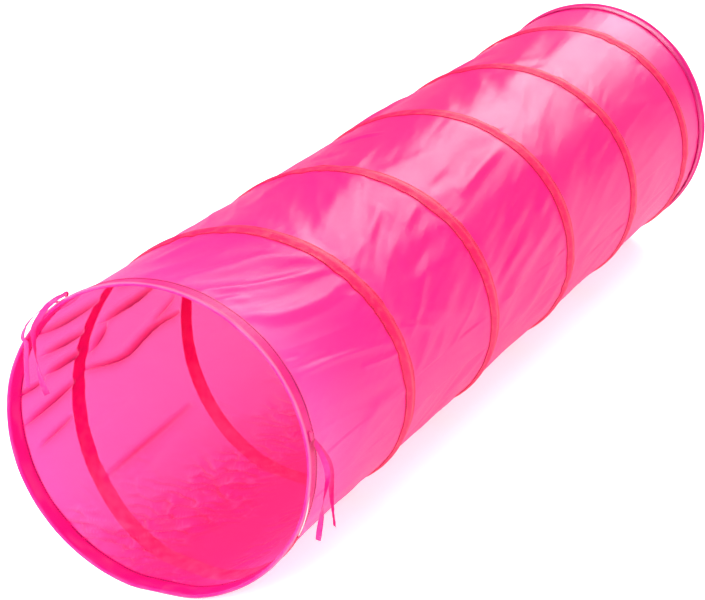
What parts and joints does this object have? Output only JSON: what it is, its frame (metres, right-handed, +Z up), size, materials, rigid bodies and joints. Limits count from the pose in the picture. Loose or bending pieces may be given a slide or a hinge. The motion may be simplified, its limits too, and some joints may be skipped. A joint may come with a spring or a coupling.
{
  "type": "dog agility tunnel",
  "caption": "Round pop-up cloth agility tunnel on a spring-steel coil, with hemmed rims, a taped coil channel and ribbon ties at one end.",
  "frame": {"origin": "on the ground, at the middle of the tunnel's length and width", "axes": "+X along the tunnel from the opening with the ties to the other, +Y to the left of that way, +Z up"},
  "size_m": [1.7514, 0.4778, 0.4565],
  "materials": {
    "skin_cloth": "thin translucent woven polyester, slightly glossy, lightly creased",
    "hem_cloth": "doubled woven polyester, folded and stitched",
    "channel_tape": "woven binding tape, matt, stitched along both edges",
    "tie_ribbon": "narrow satin ribbon, soft sheen",
    "spring_steel": "hard-drawn spring wire, lightly oiled",
    "crimp_steel": "plated crimp sleeve"
  },
  "bodies": {
    "near_end": {"near_rim_hem": "hem_cloth", "near_rim_wire": "spring_steel", "near_rim_ferrule": "crimp_steel", "left_tie_tack": "tie_ribbon", "right_tie_tack": "tie_ribbon", "left_tie_tail_front": "tie_ribbon", "left_tie_tail_back": "tie_ribbon", "right_tie_tail_back": "tie_ribbon", "right_tie_tail_front": "tie_ribbon"},
    "bay_1": {"skin_bay_1": "skin_cloth", "spiral_wire_1": "spring_steel", "channel_tape_1": "channel_tape"},
    "bay_2": {"skin_bay_2": "skin_cloth", "spiral_wire_2": "spring_steel", "channel_tape_2": "channel_tape"},
    "bay_3": {"skin_bay_3": "skin_cloth", "spiral_wire_3": "spring_steel", "channel_tape_3": "channel_tape"},
    "bay_4": {"skin_bay_4": "skin_cloth", "spiral_wire_4": "spring_steel", "channel_tape_4": "channel_tape"},
    "bay_5": {"skin_bay_5": "skin_cloth", "spiral_wire_5": "spring_steel", "channel_tape_5": "channel_tape"},
    "bay_6": {"skin_bay_6": "skin_cloth", "spiral_wire_6": "spring_steel", "channel_tape_6": "channel_tape"},
    "far_end": {"far_rim_hem": "hem_cloth", "far_rim_wire": "spring_steel", "far_rim_ferrule": "crimp_steel"}
  },
  "joints": [
    {"name": "collapse", "type": "slide", "parent": "near_end", "child": "far_end", "axis": [-1, 0, 0], "range_m": [0, 1.64], "stiffness_N_per_m": 5, "springref_m": -0.12},
    {"name": "bay_1_slide", "type": "slide", "parent": "near_end", "child": "bay_1", "axis": [-1, 0, 0], "range_m": [0, 0.1372], "deforming": ["skin_bay_1", "spiral_wire_1", "channel_tape_1"]},
    {"name": "bay_2_slide", "type": "slide", "parent": "near_end", "child": "bay_2", "axis": [-1, 0, 0], "range_m": [0, 0.4105], "deforming": ["skin_bay_2", "spiral_wire_2", "channel_tape_2"]},
    {"name": "bay_3_slide", "type": "slide", "parent": "near_end", "child": "bay_3", "axis": [-1, 0, 0], "range_m": [0, 0.6838], "deforming": ["skin_bay_3", "spiral_wire_3", "channel_tape_3"]},
    {"name": "bay_4_slide", "type": "slide", "parent": "near_end", "child": "bay_4", "axis": [-1, 0, 0], "range_m": [0, 0.9572], "deforming": ["skin_bay_4", "spiral_wire_4", "channel_tape_4"]},
    {"name": "bay_5_slide", "type": "slide", "parent": "near_end", "child": "bay_5", "axis": [-1, 0, 0], "range_m": [0, 1.2305], "deforming": ["skin_bay_5", "spiral_wire_5", "channel_tape_5"]},
    {"name": "bay_6_slide", "type": "slide", "parent": "near_end", "child": "bay_6", "axis": [-1, 0, 0], "range_m": [0, 1.5038], "deforming": ["skin_bay_6", "spiral_wire_6", "channel_tape_6"]}
  ],
  "couplings": [
    {"joint": "bay_1_slide", "follows": "collapse", "ratio": 0.083333},
    {"joint": "bay_2_slide", "follows": "collapse", "ratio": 0.25},
    {"joint": "bay_3_slide", "follows": "collapse", "ratio": 0.41667},
    {"joint": "bay_4_slide", "follows": "collapse", "ratio": 0.58333},
    {"joint": "bay_5_slide", "follows": "collapse", "ratio": 0.75},
    {"joint": "bay_6_slide", "follows": "collapse", "ratio": 0.91667}
  ]
}
